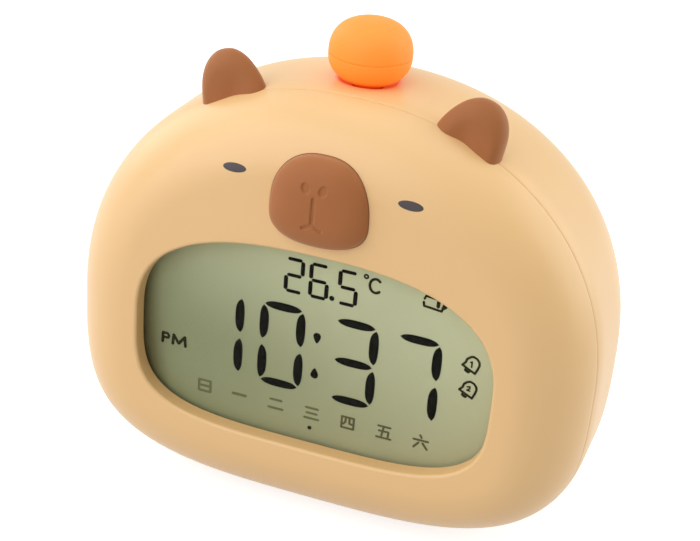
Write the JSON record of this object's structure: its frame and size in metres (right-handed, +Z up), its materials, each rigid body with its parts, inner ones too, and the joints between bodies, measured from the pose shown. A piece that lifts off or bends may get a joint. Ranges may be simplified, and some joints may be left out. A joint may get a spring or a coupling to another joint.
{
  "type": "alarm clock",
  "caption": "Bedside alarm clock with an animal face, a nose button, a recessed digital display and a pressable orange night light on top.",
  "frame": {"origin": "middle of the overall box, at the level of the table under the feet", "axes": "+Z up, -Y the way the face looks, +X to the right of a viewer who faces the clock"},
  "size_m": [0.1241, 0.0562, 0.1163],
  "materials": {
    "cream_shell": "satin injection-moulded plastic, warm cream",
    "brown_ear": "satin moulded plastic, warm brown",
    "brown_nose": "satin moulded plastic, brown, engraved",
    "eye_black": "satin dark plastic inlay",
    "clear_lens": "clear polished acrylic",
    "black_tape": "thin black adhesive frame",
    "lcd_glass": "grey-green reflective display with black segments",
    "light_guide": "polished light guide",
    "zebra_rubber": "layered silicone contact strip",
    "white_frame": "white moulded plastic",
    "circuit_board": "green solder mask",
    "chip_black": "black moulded package",
    "socket_white": "ivory connector plastic",
    "ribbon_film": "flat flexible cable",
    "switch_metal": "plated steel switch can",
    "plunger_black": "black plastic",
    "key_brown": "satin moulded plastic, brown",
    "socket_metal": "plated socket shell",
    "sensor_bead": "dipped bead",
    "lamp_dome_orange": "translucent satin orange diffuser, lit",
    "lamp_base_orange": "translucent satin orange diffuser, lit",
    "led_yellow": "LED package",
    "steel_screw": "zinc-plated steel",
    "speaker_steel": "pressed steel basket",
    "speaker_paper": "black diaphragm",
    "foam_black": "foam ring",
    "cell_wrap": "shrink-wrapped cell",
    "holder_black": "moulded cradle",
    "foot_rubber": "soft rubber foot"
  },
  "bodies": {
    "case": {"front_shell": "cream_shell", "rear_shell": "cream_shell", "ear_left": "brown_ear", "ear_right": "brown_ear", "eye_left": "eye_black", "eye_right": "eye_black", "display_lens": "clear_lens", "lens_gasket": "black_tape", "lcd_glass": "lcd_glass", "light_guide": "light_guide", "zebra_strip": "zebra_rubber", "lcd_holder": "white_frame", "main_board": "circuit_board", "main_chip": "chip_black", "ribbon_sockets": "socket_white", "board_ribbon": "ribbon_film", "key_board": "circuit_board", "nose_switch": "switch_metal", "alarm_switch_body": "switch_metal", "usb_socket": "socket_metal", "temperature_sensor": "sensor_bead", "light_board": "circuit_board", "light_led": "led_yellow", "light_switch": "switch_metal", "light_board_screws": "steel_screw", "speaker_frame": "speaker_steel", "speaker_cone": "speaker_paper", "speaker_gasket": "foam_black", "battery_cell": "cell_wrap", "battery_holder": "holder_black", "foot_front_left": "foot_rubber", "foot_front_right": "foot_rubber", "foot_rear_left": "foot_rubber", "foot_rear_right": "foot_rubber", "case_screws": "steel_screw", "main_board_screws": "steel_screw", "key_board_screws": "steel_screw", "key_set_switch": "switch_metal", "key_alarm_switch": "switch_metal", "key_up_switch": "switch_metal", "key_down_switch": "switch_metal"},
    "nose": {"nose_button": "brown_nose", "nose_plunger": "plunger_black"},
    "lamp": {"lamp_dome": "lamp_dome_orange", "lamp_base": "lamp_base_orange", "lamp_clip": "white_frame", "light_plunger": "plunger_black"},
    "set_key": {"key_set": "key_brown", "key_set_plunger": "plunger_black"},
    "alarm_key": {"key_alarm": "key_brown", "key_alarm_plunger": "plunger_black"},
    "up_key": {"key_up": "key_brown", "key_up_plunger": "plunger_black"},
    "down_key": {"key_down": "key_brown", "key_down_plunger": "plunger_black"},
    "alarm_slider": {"alarm_switch_knob": "key_brown"}
  },
  "joints": [
    {"name": "nose_press", "type": "slide", "parent": "case", "child": "nose", "axis": [0, 1, 0], "range_m": [0, 0.0012], "stiffness_N_per_m": 400},
    {"name": "lamp_press", "type": "slide", "parent": "case", "child": "lamp", "axis": [0, 0, -1], "range_m": [0, 0.0006], "stiffness_N_per_m": 600},
    {"name": "set_key_press", "type": "slide", "parent": "case", "child": "set_key", "axis": [0, -1, 0], "range_m": [0, 0.0008], "stiffness_N_per_m": 300},
    {"name": "alarm_key_press", "type": "slide", "parent": "case", "child": "alarm_key", "axis": [0, -1, 0], "range_m": [0, 0.0008], "stiffness_N_per_m": 300},
    {"name": "up_key_press", "type": "slide", "parent": "case", "child": "up_key", "axis": [0, -1, 0], "range_m": [0, 0.0008], "stiffness_N_per_m": 300},
    {"name": "down_key_press", "type": "slide", "parent": "case", "child": "down_key", "axis": [0, -1, 0], "range_m": [0, 0.0008], "stiffness_N_per_m": 300},
    {"name": "alarm_slide", "type": "slide", "parent": "case", "child": "alarm_slider", "axis": [1, 0, 0], "range_m": [-0.0015, 0.0015]}
  ]
}
